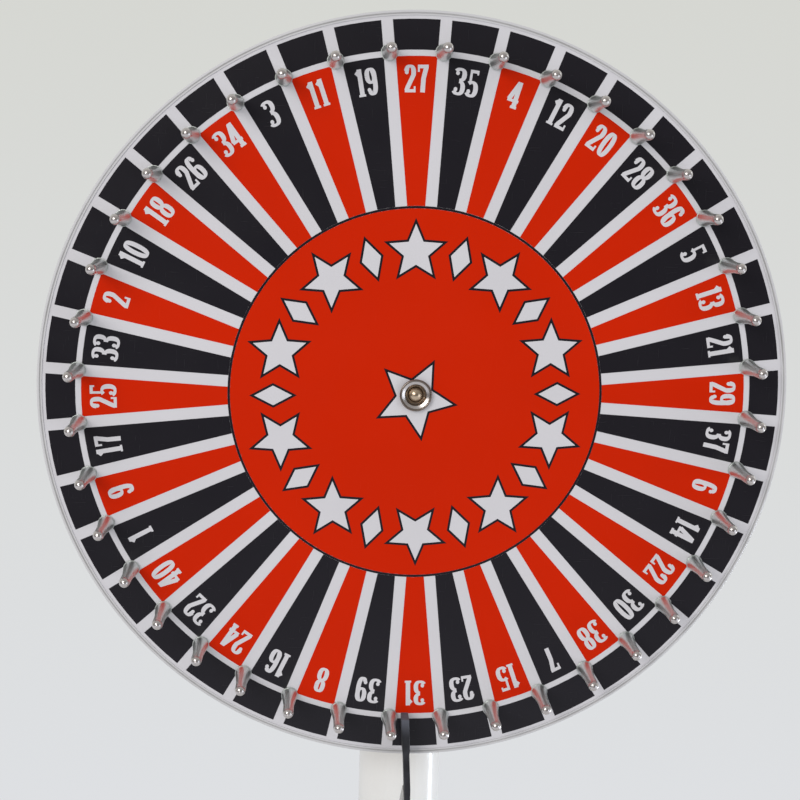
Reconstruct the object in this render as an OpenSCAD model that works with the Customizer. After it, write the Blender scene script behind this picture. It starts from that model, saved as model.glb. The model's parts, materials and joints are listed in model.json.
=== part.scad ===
// Floor-standing carnival game wheel.
// A pegged, numbered disc spins on a fixed axle in front of a round pole, and a
// flexible strap on an arm clicks past the pegs until one wedge stops over it.
// The front faces -Y, +Z is up, and the origin is on the floor under the pole.

/* [Wheel] */
// Diameter of the wheel over its edge trim
wheel_d = 760; // [700:5:820]
// Height of the wheel's centre above the floor
hub_z = 1300; // [1150:10:1450]
// Thickness of the plywood board
board_t = 12; // [9:1:18]
// Thickness of the white face sheet
face_t = 3; // [2:0.5:5]
// Wall of the edge trim, measured outwards from the board
trim_wall = 2; // [1.5:0.25:3]
// Width of the trim's lips on the front and the back
trim_lip = 5; // [4:0.5:7]
// Thickness of the trim's lips
trim_lip_t = 1.2; // [0.8:0.2:2]
// Angle at which the wheel has come to rest, counter-clockwise from the front
rest_angle = 1.41; // [-3:0.01:2]

/* [Print] */
// Number of wedges, and so of blocks and pegs
wedge_count = 40; // [24:2:48]
// Thickness of the printed films
film_t = 0.2; // [0.1:0.05:0.4]
// White margin between the wheel's edge and the blocks
block_margin = 8.6; // [7.5:0.1:12]
// Radial height of a border block
block_h = 29.6; // [24:0.2:34]
// Width of the white ring between the blocks and the wedges
ring_w = 5.9; // [4:0.1:10]
// White line between neighbouring blocks
block_line = 11.5; // [8:0.1:16]
// White line between neighbouring wedges
wedge_line = 11.8; // [8:0.1:16]
// Diameter of the centre disc over its dark outline
disc_d = 379.4; // [320:0.2:420]
// Width of the dark line round the centre disc
outline_w = 2.3; // [1.5:0.1:4]
// Diameter through the points of the white centre star
star_d = 78; // [66:1:100]
// Share of the star's point radius at which its notches lie
star_notch = 0.475; // [0.45:0.005:0.55]
// Width of the dark line round the star
star_line = 2.2; // [1.5:0.1:4]
// Sideways place of the star's middle, to the right of the wheel's centre
star_x = -0.8; // [-2:0.1:2]
// Height of the star's middle above the wheel's centre
star_y = -4.1; // [-5:0.1:5]
// Clockwise turn of the star on the disc
star_turn = 27; // [0:1:72]

/* [Pegs] */
// Distance from the wheel's edge to the peg circle
peg_inset = 40; // [36:0.5:46]
// Length of a peg in front of the face
peg_len = 60; // [48:1:70]
// Diameter of a peg's foot
peg_foot_d = 17; // [15:0.2:22]
// Thickness of a peg's foot rim
peg_foot_t = 1.8; // [1:0.2:3]
// Diameter of a peg's stem
peg_stem_d = 10.8; // [8:0.2:12]
// Length of the cone between the foot and the stem
peg_cone_h = 30; // [18:1:34]
// Step from the foot rim in to the cone
peg_step = 0.5; // [0.2:0.1:1]
// Diameter of the screws that hold the pegs
peg_screw_d = 5; // [4:0.5:6]
// Depth of the screw inside a peg
peg_screw_in = 16; // [12:1:24]

/* [Hub and bearings] */
// Diameter of the hub's flange
hub_flange_d = 140; // [120:2:180]
// Thickness of the hub's flange
hub_flange_t = 8; // [6:1:12]
// Diameter of the hub's barrel
hub_barrel_d = 64; // [56:1:76]
// Length of the hub from the board to its back end
hub_len = 46; // [38:1:60]
// Number of screws through the hub's flange
hub_screw_count = 6; // [4:1:8]
// Circle of the hub's screws
hub_screw_pcd = 110; // [92:1:116]
// Diameter of the hub's screws
hub_screw_d = 6; // [5:0.5:8]
// Outer diameter of a bearing
bearing_od = 42; // [40:0.5:46]
// Width of a bearing
bearing_w = 12; // [10:0.5:14]
// Ball diameter
ball_d = 6.35; // [5:0.05:7]
// Number of balls in a bearing
ball_count = 9; // [7:1:10]

/* [Axle] */
// Diameter of the axle, which is the bearings' bore
axle_d = 20; // [18:0.5:22]
// Diameter of the axle's front stud
stud_d = 12; // [10:1:14]
// Diameter of the spacer sleeves on the axle
spacer_d = 26; // [24.5:0.5:27]
// Length of the spacer between the rear bearing and the pole's sleeve
rear_spacer_len = 5; // [3:0.5:12]
// Length of the spacer between the front bearing and the cup washer
front_spacer_len = 3; // [2:0.5:6]
// Diameter of the cup washer on the wheel's front
cup_d = 32.6; // [31:0.2:40]
// Height of the cup washer's rim
cup_h = 5; // [4:0.5:8]
// Width across the flats of the dome nut
dome_af = 18; // [17:0.5:19]
// Height of the dome nut
dome_h = 16; // [14:1:20]
// Width across the flats of the rear nut
rear_nut_af = 30; // [28:1:36]
// Height of the rear nut
rear_nut_h = 16; // [12:1:20]
// Diameter of the sleeve that carries the axle across the pole
sleeve_d = 32; // [28:1:40]
// How far the sleeve stands out of the pole at each end
sleeve_proud = 4; // [2:0.5:10]

/* [Pole] */
// Outer diameter of the pole
pole_d = 90; // [80:1:100]
// Wall of the pole
pole_wall = 3; // [2:0.5:5]
// How far the pole rises above the wheel's centre
pole_over = 70; // [50:5:120]
// Depth of the cap's skirt inside the pole
cap_skirt = 20; // [12:1:30]
// Height of the cap's dome
cap_dome = 11; // [8:1:20]

/* [Base] */
// Diameter of the round base plate
base_d = 620; // [560:10:700]
// Thickness of the base plate
base_t = 10; // [8:1:16]
// Rounding of the plate's upper edge
base_round = 4; // [2:0.5:6]
// Number of rubber feet
foot_count = 6; // [4:1:8]
// Diameter of a foot
foot_d = 50; // [44:1:64]
// Height of a foot
foot_h = 16; // [15:0.5:24]
// Distance from the plate's edge to the foot circle
foot_inset = 34; // [32:1:60]
// Diameter of the foot screws
foot_screw_d = 6; // [5:0.5:8]
// Diameter of the socket's flange
socket_flange_d = 190; // [184:2:230]
// Thickness of the socket's flange
socket_flange_t = 12; // [10:1:18]
// Height of the socket above the plate
socket_h = 120; // [100:5:180]
// Wall of the socket
socket_wall = 12; // [11:0.5:14]
// Circle of the socket's bolts
socket_pcd = 158; // [154:1:160]
// Diameter of the socket's bolts
socket_bolt_d = 10; // [8:1:10]
// Thickness of the socket's ribs
rib_t = 8; // [6:0.5:12]
// Height of the socket's ribs above the flange
rib_h = 70; // [50:1:80]

/* [Pointer] */
// Thickness of the strap, side to side
strap_t = 6.4; // [4:0.2:7]
// Thickness of the strap's worn, swollen tip
tip_t = 8; // [7:0.2:9]
// Length of the thicker tip
tip_len = 34; // [20:1:44]
// Width of the strap, front to back
strap_w = 23; // [18:0.5:28]
// Length of the strap that is free to bend
strap_free = 76; // [68:1:92]
// How far the tip reaches inside the peg circle
strap_reach = 8; // [4:0.5:12]
// Gap between the wheel's face and the strap
strap_gap = 8; // [5:0.5:14]
// Lean of the strap to the left
strap_lean = 3.1; // [0:0.1:5]
// Sideways place of the strap's clamped root
strap_x = 1.1; // [-3:0.1:6]
// Length of the strap that is clamped
strap_root = 49; // [46:1:56]
// Thickness of the arm's plate
arm_t = 4; // [3:0.5:8]
// How far the collar's middle lies below the strap's bend
arm_drop = 112; // [100:1:140]
// Thickness of the plate that clamps the strap
clamp_t = 3; // [2:0.5:6]
// Diameter of the clamp's bolts
clamp_bolt_d = 5; // [4:0.5:6]
// Height of the collar
collar_h = 46; // [42:1:60]
// Wall of the collar
collar_wall = 9; // [7:0.5:14]
// Gap between the collar's halves
collar_split = 4; // [2:0.5:8]
// Reach of the collar's ears
ear_w = 24; // [22:1:32]
// Thickness of the collar's ears
ear_t = 12; // [8:1:16]
// Depth of the collar's pad under the arm
pad_t = 5; // [3:0.5:10]
// Diameter of the collar's bolts
collar_bolt_d = 8; // [6:1:8]

/* [Hidden] */
$fn = 96;
// Overshoot of every cutting tool
cut = 1;

// Clearances
fit_gap = 0.05;
hole_gap = 0.3;
film_gap = 0.1;
seat_gap = 0.3;
end_gap = 0.2;
spin_gap = 1;

// Fastener proportions, as shares of the thread diameter
hex_af = 1.6;
hex_head_h = 0.64;
hex_nut_h = 0.8;
washer_od = 2;
washer_t = 0.2;
pan_head_d = 1.9;
pan_top_d = 1.52;
pan_head_h = 0.62;
pan_key_d = 0.7;
// Hexagon proportions, as shares of the width across the flats
hex_face_r = 0.48;
hex_rim_r = 0.6;
hex_bevel = 0.07;
// How far a bolt stands out of its nut, in millimetres
bolt_proud = 2;

// Wheel radii
wheel_r = wheel_d / 2;
board_r = wheel_r - trim_wall - fit_gap;
block_r1 = wheel_r - block_margin;
block_r0 = block_r1 - block_h;
wedge_r1 = block_r0 - ring_w;
disc_r = disc_d / 2;
wedge_r0 = disc_r + film_gap;
peg_r = wheel_r - peg_inset;
pitch = 360 / wedge_count;
// Groove round the middle of the trim's front lip
groove_share = 0.55;
lip_groove = groove_share * trim_lip_t;
lip_groove_r = wheel_r - (trim_lip + trim_lip_t) / 2;
star_r = star_d / 2;
centre_hole_d = spacer_d + 2 * spin_gap;

// Stack along the wheel's axis, from the face (0) to the back
board_back = -(face_t + board_t);
hub_back = board_back - hub_len;
front_bearing_z = board_back - end_gap - bearing_w;
rear_bearing_z = hub_back + end_gap;
sleeve_front = rear_bearing_z - rear_spacer_len;
axle_step_in = 1;
axle_step = board_back - end_gap - axle_step_in;
// The cup washer's floor lies behind the face, and its rim stands just clear of the print
cup_floor = front_bearing_z + bearing_w + front_spacer_len;
cup_rim_z = 1;
cup_seat_t = 2;
cup_bore_r = dome_af * hex_rim_r + seat_gap;
cup_roll = 1.2;
cup_flare = 2.4;
dome_share = 0.46;
dome_r = dome_share * dome_af;
stud_end = cup_floor + cup_seat_t + dome_h / 2;
pole_r = pole_d / 2;
face_y = sleeve_front - sleeve_proud - pole_r;
sleeve_end = pole_r + sleeve_proud;
rear_washer_t = 3;
axle_back = sleeve_end + rear_washer_t + rear_nut_h + 2 * bolt_proud;

// Bearing section
ball_r = ball_d / 2;
ball_pitch_r = (axle_d + bearing_od) / 4;
groove_gap = 0.08;
groove_r = ball_r + groove_gap;
race_share = 0.66;
race_land = race_share * ball_r;
bearing_shoulder = 3;
hub_fillet = 8;
hub_screw_cover = 3;
// The hub's screws end inside the board
hub_screw_in = board_t - hub_screw_cover;

// Stand heights
base_top = foot_h + base_t;
socket_top = base_top + socket_h;
socket_r = pole_r + fit_gap + socket_wall;
pole_top = hub_z + pole_over;
pole_bore = pole_d - 2 * pole_wall;
cap_wall = 2.5;
cap_rim = 3;
foot_circle_r = base_d / 2 - foot_inset;
foot_head_recess = 6;
foot_taper = 3;
foot_head_gap = 1;
foot_screw_in = 7;
fillet_w = 6;
fillet_h = 10;
rib_inset = 5;
rib_toe = 4;
socket_bolt_count = 4;
set_screw_d = socket_bolt_d;
set_screw_count = 3;
set_screw_drop = 18;
set_screw_z = socket_top - set_screw_drop;
set_screw_proud = 2;
set_screw_key = 3;
key_share = 0.55;
socket_washer_t = socket_bolt_d * washer_t;
socket_nut_h = socket_bolt_d * hex_nut_h;
socket_bolt_end = foot_h - socket_washer_t - socket_nut_h - bolt_proud;

// Pointer places
tip_z = hub_z - peg_r + strap_reach;
pivot_z = tip_z - strap_free;
strap_back_y = face_y - strap_gap;
strap_front_y = strap_back_y - strap_w;
strap_mid_y = (strap_back_y + strap_front_y) / 2;
strap_left = strap_x - strap_t / 2;
strap_right = strap_x + strap_t / 2;
arm_left = strap_left - arm_t;
// The strap swells a little where it bends, and the clamped root and the arm end just below
bend_swell = 0.2;
bend_r = strap_t / 2 + bend_swell;
root_top = pivot_z - bend_r - seat_gap;
arm_top = root_top;
clamp_depth = 25;
clamp_pitch = 16;
clamp_z = [root_top - clamp_depth, root_top - clamp_depth - clamp_pitch];
clamp_edge = 8;
tip_slope = 4;
tip_edge = 1.5;
arm_nose = 4;
// The arm's outer face is ground off to a thin edge at the top
arm_edge = 0.8;
arm_taper = 18;
arm_corner = 20;
arm_crook = 8;
collar_z = pivot_z - arm_drop;
collar_r = pole_r + fit_gap + collar_wall;
pad_y = -(collar_r + pad_t);
pad_w = 24;
collar_bolt_x = collar_r + ear_w / 2;
collar_bolt_z = [collar_z - collar_h / 4, collar_z + collar_h / 4];
collar_ear_y = collar_split / 2 + ear_t;

// Shared frames and patterns

// Puts local +Z on the wheel's axis towards the front, with its zero on the face
module on_axis() translate([0, face_y, hub_z]) rotate([90, 0, 0]) children();

// The same, turned with the wheel to where it rests
module on_wheel() on_axis() rotate([0, 0, rest_angle]) children();

// Copies children round the local Z axis at a radius
module around(count, radius, start = 0)
    for (i = [0 : count - 1])
        rotate([0, 0, start + i * 360 / count])
            translate([radius, 0, 0])
                children();

// Peg places lie on the white lines between the wedges
module at_pegs() on_wheel() around(wedge_count, peg_r, 90 + pitch / 2) children();

// Lays local +Z along +Y, at a point
module along_y(p) translate(p) rotate([-90, 0, 0]) children();

// Lays local +Z along +X, at a point
module along_x(p) translate(p) rotate([0, 90, 0]) children();

// Shared solids

module tube(od, id, h) difference() {
    cylinder(d = od, h = h);
    translate([0, 0, -cut]) cylinder(d = id, h = h + 2 * cut);
}

// Hexagon with both rims chamfered to a cone
module hex_body(af, h) intersection() {
    cylinder(d = af / cos(30), h = h, $fn = 6);
    rotate_extrude() polygon([
        [0, 0],
        [hex_face_r * af, 0],
        [hex_rim_r * af, hex_bevel * af],
        [hex_rim_r * af, h - hex_bevel * af],
        [hex_face_r * af, h],
        [0, h]
    ]);
}

module hex_nut(d) difference() {
    hex_body(d * hex_af, d * hex_nut_h);
    translate([0, 0, -cut]) cylinder(d = d + 2 * fit_gap, h = d * hex_nut_h + 2 * cut);
}

// Hexagon bolt: head above zero, shank below it
module hex_bolt(d, len) union() {
    hex_body(d * hex_af, d * hex_head_h);
    translate([0, 0, -len]) cylinder(d = d, h = len + d * hex_head_h / 2);
}

module flat_washer(d) tube(d * washer_od, d + 2 * hole_gap, d * washer_t);

// Pan head above zero with a hexagon recess, shank below it
module pan_screw(d, len) difference() {
    union() {
        cylinder(d1 = d * pan_head_d, d2 = d * pan_top_d, h = d * pan_head_h);
        translate([0, 0, -len]) cylinder(d = d, h = len + cut);
    }
    translate([0, 0, d * pan_head_h / 2]) cylinder(d = d * pan_key_d, h = d, $fn = 6);
}

// Base

module base_plate() color("white") difference() {
    translate([0, 0, foot_h]) rotate_extrude() union() {
        square([base_d / 2 - base_round, base_t]);
        square([base_d / 2, base_t - base_round]);
        translate([base_d / 2 - base_round, base_t - base_round]) circle(base_round);
    }
    translate([0, 0, foot_h - cut])
        around(foot_count, foot_circle_r) cylinder(d = foot_screw_d + 2 * fit_gap, h = cut + foot_screw_in);
    translate([0, 0, foot_h - cut])
        around(socket_bolt_count, socket_pcd / 2)
            cylinder(d = socket_bolt_d + 2 * hole_gap, h = base_t + 2 * cut);
}

module rubber_feet() color("dimgray") around(foot_count, foot_circle_r) difference() {
    cylinder(d1 = foot_d - 2 * foot_taper, d2 = foot_d, h = foot_h);
    translate([0, 0, -cut])
        cylinder(d = foot_screw_d * pan_head_d + 2 * foot_head_gap, h = foot_head_recess + cut);
    translate([0, 0, -cut]) cylinder(d = foot_screw_d + 2 * hole_gap, h = foot_h + 2 * cut);
}

module foot_screws() color("silver") around(foot_count, foot_circle_r)
    translate([0, 0, foot_head_recess]) mirror([0, 0, 1])
        pan_screw(foot_screw_d, foot_h - foot_head_recess + foot_screw_in - end_gap);

// Cast socket: bolted flange, tube, fillet cone and four ribs
module pole_socket() color("white") difference() {
    translate([0, 0, base_top]) union() {
        cylinder(d = socket_flange_d, h = socket_flange_t);
        cylinder(r = socket_r, h = socket_h);
        translate([0, 0, socket_flange_t]) cylinder(r1 = socket_r + fillet_w, r2 = socket_r, h = fillet_h);
        for (i = [0 : socket_bolt_count - 1])
            rotate([90, 0, (i + 0.5) * 360 / socket_bolt_count])
                linear_extrude(rib_t, center = true) polygon([
                    [pole_r + socket_wall / 2, 0],
                    [socket_flange_d / 2 - rib_inset, 0],
                    [socket_flange_d / 2 - rib_inset, socket_flange_t + rib_toe],
                    [socket_r + rib_toe, socket_flange_t + rib_h],
                    [pole_r + socket_wall / 2, socket_flange_t + rib_h]
                ]);
    }
    translate([0, 0, base_top - cut]) cylinder(r = pole_r + fit_gap, h = socket_h + 2 * cut);
    translate([0, 0, base_top - cut])
        around(socket_bolt_count, socket_pcd / 2)
            cylinder(d = socket_bolt_d + 2 * hole_gap, h = socket_flange_t + 2 * cut);
    translate([0, 0, set_screw_z]) around(set_screw_count, pole_r - cut, 30) rotate([0, 90, 0])
        cylinder(d = set_screw_d + 2 * fit_gap, h = socket_wall + 3 * cut);
}

module socket_bolts() color("silver") around(socket_bolt_count, socket_pcd / 2)
    translate([0, 0, base_top + socket_flange_t + socket_washer_t])
        hex_bolt(socket_bolt_d, base_top + socket_flange_t + socket_washer_t - socket_bolt_end);

module socket_washers() color("silver") around(socket_bolt_count, socket_pcd / 2)
    for (z = [base_top + socket_flange_t, foot_h - socket_washer_t])
        translate([0, 0, z]) flat_washer(socket_bolt_d);

module socket_nuts() color("silver") around(socket_bolt_count, socket_pcd / 2)
    translate([0, 0, foot_h - socket_washer_t - socket_nut_h]) hex_nut(socket_bolt_d);

// Headless screws that bear on the pole
module socket_set_screws() color("silver") translate([0, 0, set_screw_z])
    around(set_screw_count, pole_r, 30) rotate([0, 90, 0]) difference() {
        cylinder(d = set_screw_d, h = socket_wall + fit_gap + set_screw_proud);
        translate([0, 0, socket_wall - set_screw_key])
            cylinder(d = set_screw_d * key_share, h = socket_wall, $fn = 6);
    }

// Pole

module pole() color("white") difference() {
    translate([0, 0, base_top]) tube(pole_d, pole_bore, pole_top - base_top);
    along_y([0, -pole_r - cut, hub_z]) cylinder(d = sleeve_d + 2 * fit_gap, h = pole_d + 2 * cut);
}

// Plug cap: skirt inside the pole, domed top flush with its wall
module pole_cap() color("white") union() {
    translate([0, 0, pole_top - cap_skirt])
        tube(pole_bore - 2 * fit_gap, pole_bore - 2 * cap_wall, cap_skirt + cut);
    translate([0, 0, pole_top]) cylinder(d = pole_d, h = cap_rim);
    translate([0, 0, pole_top + cap_rim]) intersection() {
        translate([0, 0, cap_dome - cap_sphere_r()]) sphere(cap_sphere_r());
        cylinder(d = pole_d, h = cap_dome + cut);
    }
}

// Radius of the sphere that passes through the cap's rim and its crown
function cap_sphere_r() = (pole_r * pole_r + cap_dome * cap_dome) / (2 * cap_dome);

// Axle and what clamps on it

module axle_sleeve() color("gainsboro") along_y([0, -sleeve_end, hub_z])
    tube(sleeve_d, axle_d + 2 * fit_gap, 2 * sleeve_end);

module axle() color("silver") on_axis() union() {
    translate([0, 0, face_y - axle_back]) cylinder(d = axle_d, h = axle_back - face_y + axle_step);
    translate([0, 0, axle_step - cut]) cylinder(d = stud_d, h = stud_end - axle_step + cut);
}

module rear_washer() color("silver") along_y([0, sleeve_end, hub_z])
    tube(axle_d * washer_od, axle_d + 2 * hole_gap, rear_washer_t);

module rear_nut() color("silver") along_y([0, sleeve_end + rear_washer_t, hub_z]) difference() {
    hex_body(rear_nut_af, rear_nut_h);
    translate([0, 0, -cut]) cylinder(d = axle_d + 2 * fit_gap, h = rear_nut_h + 2 * cut);
}

module rear_spacer() color("silver") on_axis() translate([0, 0, sleeve_front])
    tube(spacer_d, axle_d + 2 * fit_gap, rear_spacer_len);

module bearing_spacer() color("silver") on_axis() translate([0, 0, rear_bearing_z + bearing_w])
    tube(spacer_d, axle_d + 2 * fit_gap, front_bearing_z - rear_bearing_z - bearing_w);

module front_spacer() color("silver") on_axis() translate([0, 0, front_bearing_z + bearing_w])
    tube(spacer_d, stud_d + 2 * fit_gap, front_spacer_len);

// Deep cup washer: a floor for the nut, a flared mouth and a rolled rim
module hub_washer() color("gainsboro") on_axis() rotate_extrude() union() {
    polygon([
        [stud_d / 2 + fit_gap, cup_floor],
        [spacer_d / 2, cup_floor],
        [spacer_d / 2, cup_rim_z],
        [cup_d / 2 - cup_roll / 2, cup_rim_z],
        [cup_d / 2 - cup_roll / 2, cup_rim_z + cup_h - cup_roll],
        [cup_d / 2 - cup_roll, cup_rim_z + cup_h - cup_roll / 2],
        [cup_bore_r, cup_rim_z + cup_h - cup_flare],
        [cup_bore_r, cup_floor + cup_seat_t],
        [stud_d / 2 + fit_gap, cup_floor + cup_seat_t]
    ]);
    translate([cup_d / 2 - cup_roll, cup_rim_z + cup_h - cup_roll]) circle(cup_roll);
}

// Closed nut: hexagon skirt, dome and a blind bore
module dome_nut() color("gainsboro") on_axis() translate([0, 0, cup_floor + cup_seat_t]) difference() {
    union() {
        hex_body(dome_af, dome_h - dome_r);
        translate([0, 0, dome_h - dome_r]) intersection() {
            sphere(dome_r);
            cylinder(d = dome_af, h = dome_h);
        }
    }
    translate([0, 0, -cut]) cylinder(d = stud_d + 2 * fit_gap, h = dome_h / 2 + 2 * cut);
}

// Bearings

module at_bearings() on_axis()
    for (z = [front_bearing_z, rear_bearing_z]) translate([0, 0, z]) children();

module ball_groove() translate([0, 0, bearing_w / 2])
    rotate_extrude() translate([ball_pitch_r, 0]) circle(groove_r);

module bearing_inner_races() color("silver") at_bearings() difference() {
    tube(2 * (ball_pitch_r - race_land), axle_d + 2 * fit_gap, bearing_w);
    ball_groove();
}

module bearing_outer_races() color("silver") at_bearings() difference() {
    tube(bearing_od, 2 * (ball_pitch_r + race_land), bearing_w);
    ball_groove();
}

module bearing_balls() color("lightgray") at_bearings()
    translate([0, 0, bearing_w / 2]) around(ball_count, ball_pitch_r) sphere(ball_r);

// Wheel

// Turned hub: flange on the board, barrel, two bearing seats and a shoulder
module hub() color("lightgray") on_wheel() difference() {
    union() {
        translate([0, 0, board_back - hub_flange_t]) cylinder(d = hub_flange_d, h = hub_flange_t);
        translate([0, 0, hub_back]) cylinder(d = hub_barrel_d, h = hub_len);
        translate([0, 0, board_back - hub_flange_t - hub_fillet])
            cylinder(d1 = hub_barrel_d, d2 = hub_barrel_d + 2 * hub_fillet, h = hub_fillet);
    }
    translate([0, 0, hub_back - cut])
        cylinder(d = bearing_od - 2 * bearing_shoulder, h = hub_len + 2 * cut);
    translate([0, 0, front_bearing_z])
        cylinder(d = bearing_od + 2 * fit_gap, h = bearing_w + end_gap + cut);
    translate([0, 0, hub_back - cut])
        cylinder(d = bearing_od + 2 * fit_gap, h = bearing_w + end_gap + cut);
    translate([0, 0, board_back - hub_flange_t - cut]) around(hub_screw_count, hub_screw_pcd / 2)
        cylinder(d = hub_screw_d + 2 * hole_gap, h = hub_flange_t + 2 * cut);
}

module hub_screws() color("silver") on_wheel() translate([0, 0, board_back - hub_flange_t])
    around(hub_screw_count, hub_screw_pcd / 2) mirror([0, 0, 1])
        pan_screw(hub_screw_d, hub_flange_t + hub_screw_in - end_gap);

// Holes that the peg screws and the front spacer pass through
module wheel_holes(z, h) translate([0, 0, z - cut]) union() {
    cylinder(d = centre_hole_d, h = h + 2 * cut);
    around(wedge_count, peg_r, 90 + pitch / 2) cylinder(d = peg_screw_d + 2 * hole_gap, h = h + 2 * cut);
}

module wheel_board() color("burlywood") on_wheel() difference() {
    translate([0, 0, board_back]) cylinder(r = board_r, h = board_t);
    wheel_holes(board_back, board_t);
    translate([0, 0, board_back - cut]) around(hub_screw_count, hub_screw_pcd / 2)
        cylinder(d = hub_screw_d + 2 * fit_gap, h = hub_screw_in + cut);
}

module face_sheet() color("white") on_wheel() difference() {
    translate([0, 0, -face_t]) cylinder(r = board_r, h = face_t);
    wheel_holes(-face_t, face_t);
}

// Channel that wraps the edge of the board and the face sheet, grooved on its front lip
module edge_trim() color("gainsboro") on_wheel() rotate_extrude() polygon([
    [wheel_r - trim_lip, 0],
    [wheel_r - trim_wall, 0],
    [wheel_r - trim_wall, board_back],
    [wheel_r - trim_lip, board_back],
    [wheel_r - trim_lip, board_back - trim_lip_t],
    [wheel_r - trim_lip_t, board_back - trim_lip_t],
    [wheel_r, board_back],
    [wheel_r, 0],
    [wheel_r - trim_lip_t, trim_lip_t],
    [lip_groove_r + lip_groove, trim_lip_t],
    [lip_groove_r, trim_lip_t - lip_groove],
    [lip_groove_r - lip_groove, trim_lip_t],
    [wheel_r - trim_lip, trim_lip_t]
]);

// Turned peg: rimmed foot, cone, stem and round end, with a tapped hole below
module pegs() color("silver") at_pegs() translate([0, 0, film_t]) difference() {
    union() {
        cylinder(d = peg_foot_d, h = peg_foot_t);
        translate([0, 0, peg_foot_t])
            cylinder(d1 = peg_foot_d - 2 * peg_step, d2 = peg_stem_d, h = peg_cone_h);
        cylinder(d = peg_stem_d, h = peg_len - peg_stem_d / 2);
        translate([0, 0, peg_len - peg_stem_d / 2]) sphere(d = peg_stem_d);
    }
    translate([0, 0, -cut]) cylinder(d = peg_screw_d + 2 * fit_gap, h = peg_screw_in + cut);
}

module peg_washers() color("silver") at_pegs()
    translate([0, 0, board_back - peg_screw_d * washer_t]) flat_washer(peg_screw_d);

module peg_screws() color("silver") at_pegs()
    translate([0, 0, board_back - peg_screw_d * washer_t]) mirror([0, 0, 1])
        pan_screw(peg_screw_d, peg_screw_d * washer_t - board_back + film_t + peg_screw_in - end_gap);

// Print

// Part of a ring between two parallel-sided white lines, centred on local +Y
module ring_piece(r0, r1, line) {
    apex = line / 2 / sin(pitch / 2);
    reach = 2 * r1;
    intersection() {
        difference() {
            circle(r1);
            circle(r0);
        }
        polygon([[0, apex], [reach * tan(pitch / 2), apex + reach], [-reach * tan(pitch / 2), apex + reach]]);
    }
}

// Every second piece of the ring, or all of them
module ring_pieces(r0, r1, line, first, step) on_wheel()
    for (k = [first : step : wedge_count - 1])
        rotate([0, 0, -pitch * k]) linear_extrude(film_t) ring_piece(r0, r1, line);

module red_wedges() color("red") ring_pieces(wedge_r0, wedge_r1, wedge_line, 0, 2);
module black_wedges() color("black") ring_pieces(wedge_r0, wedge_r1, wedge_line, 1, 2);
module border_blocks() color("black") ring_pieces(block_r0, block_r1, block_line, 0, 1);

// Five-point star with its point on local +Y
module star(r) polygon([
    for (i = [0 : 9]) let (q = i % 2 == 0 ? r : r * star_notch) [q * sin(36 * i), q * cos(36 * i)]
]);

// Radius of the star that runs round the white one at the line's width
function star_outer_r() = star_r + star_line * star_side() / (star_r * star_notch * sin(36));
function star_side() = star_r * sqrt(1 + star_notch * star_notch - 2 * star_notch * cos(36));

module centre_disc() color("red") on_wheel() difference() {
    cylinder(r = disc_r - outline_w - film_gap, h = film_t);
    translate([0, 0, -cut]) cylinder(d = centre_hole_d, h = film_t + 2 * cut);
}

module centre_outline() color("black") on_wheel() tube(disc_d, disc_d - 2 * outline_w, film_t);

// The star is stuck on a little off the wheel's centre
module at_star() translate([star_x, star_y]) rotate(-star_turn) children();

module star_outline() color("black") on_wheel() translate([0, 0, film_t]) linear_extrude(film_t)
    difference() {
        at_star() star(star_outer_r());
        at_star() star(star_r);
        circle(d = centre_hole_d);
    }

module centre_star() color("white") on_wheel() translate([0, 0, film_t]) linear_extrude(film_t)
    difference() {
        at_star() star(star_r - film_gap);
        circle(d = centre_hole_d);
    }

// Pointer

// Half of the split collar with its two ears; side is -1 in front and 1 behind
module collar_half(side) difference() {
    union() {
        intersection() {
            translate([0, 0, collar_z - collar_h / 2]) cylinder(r = collar_r, h = collar_h);
            translate([
                -collar_r - cut,
                side > 0 ? collar_split / 2 : -collar_r - cut,
                collar_z - collar_h / 2
            ])
                cube([2 * (collar_r + cut), collar_r + cut - collar_split / 2, collar_h]);
        }
        for (x = [-1, 1])
            translate([
                x > 0 ? collar_r - collar_wall : -collar_r - ear_w,
                side > 0 ? collar_split / 2 : -collar_ear_y,
                collar_z - collar_h / 2
            ])
                cube([ear_w + collar_wall, ear_t, collar_h]);
        if (side < 0)
            translate([(strap_left + arm_left - pad_w) / 2, pad_y, collar_z - collar_h / 2])
                cube([pad_w, pad_t + collar_wall, collar_h]);
    }
    translate([0, 0, collar_z - collar_h / 2 - cut]) cylinder(r = pole_r + fit_gap, h = collar_h + 2 * cut);
    for (x = [-1, 1], z = collar_bolt_z)
        along_y([x * collar_bolt_x, -collar_ear_y - cut, z])
            cylinder(d = collar_bolt_d + 2 * hole_gap, h = 2 * (collar_ear_y + cut));
}

module collar_front() color("gray") collar_half(-1);
module collar_rear() color("gray") collar_half(1);

module collar_bolts() color("silver") for (x = [-1, 1], z = collar_bolt_z)
    translate([x * collar_bolt_x, -collar_ear_y, z]) rotate([90, 0, 0])
        hex_bolt(collar_bolt_d, 2 * collar_ear_y + collar_bolt_d * hex_nut_h + bolt_proud);

module collar_nuts() color("silver") for (x = [-1, 1], z = collar_bolt_z)
    along_y([x * collar_bolt_x, collar_ear_y, z]) hex_nut(collar_bolt_d);

// Holes of the two bolts that clamp the strap
module clamp_holes() for (z = clamp_z)
    along_x([arm_left - cut, strap_mid_y, z])
        cylinder(d = clamp_bolt_d + 2 * hole_gap, h = arm_t + strap_t + clamp_t + 2 * cut);

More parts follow.
